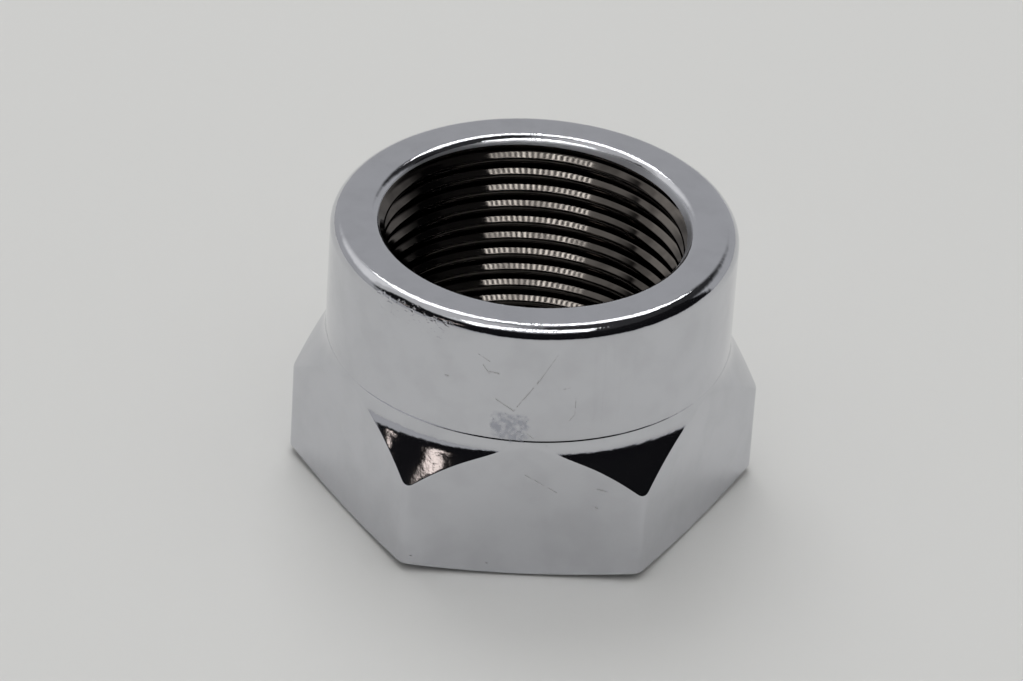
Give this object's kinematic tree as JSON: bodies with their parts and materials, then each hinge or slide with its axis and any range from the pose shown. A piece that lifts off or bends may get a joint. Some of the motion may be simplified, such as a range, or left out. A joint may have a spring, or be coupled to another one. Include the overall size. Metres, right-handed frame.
{
  "type": "collared lock nut",
  "caption": "Chrome-plated lock nut with a hexagon base, a hollow turned shoulder, a plain round collar with a rounded rim and a fine internal thread right through.",
  "frame": {"origin": "centre of the base ring, on the axis of the bore, at the face the nut stands on", "axes": "+Z along the bore from the base to the collar's rim, two flats of the hexagon face +Y and -Y"},
  "size_m": [0.0366, 0.032, 0.0227],
  "materials": {
    "plated_steel": "bright chrome plate, lightly scratched"
  },
  "bodies": {
    "root": {"lock_nut": "plated_steel"}
  },
  "joints": []
}
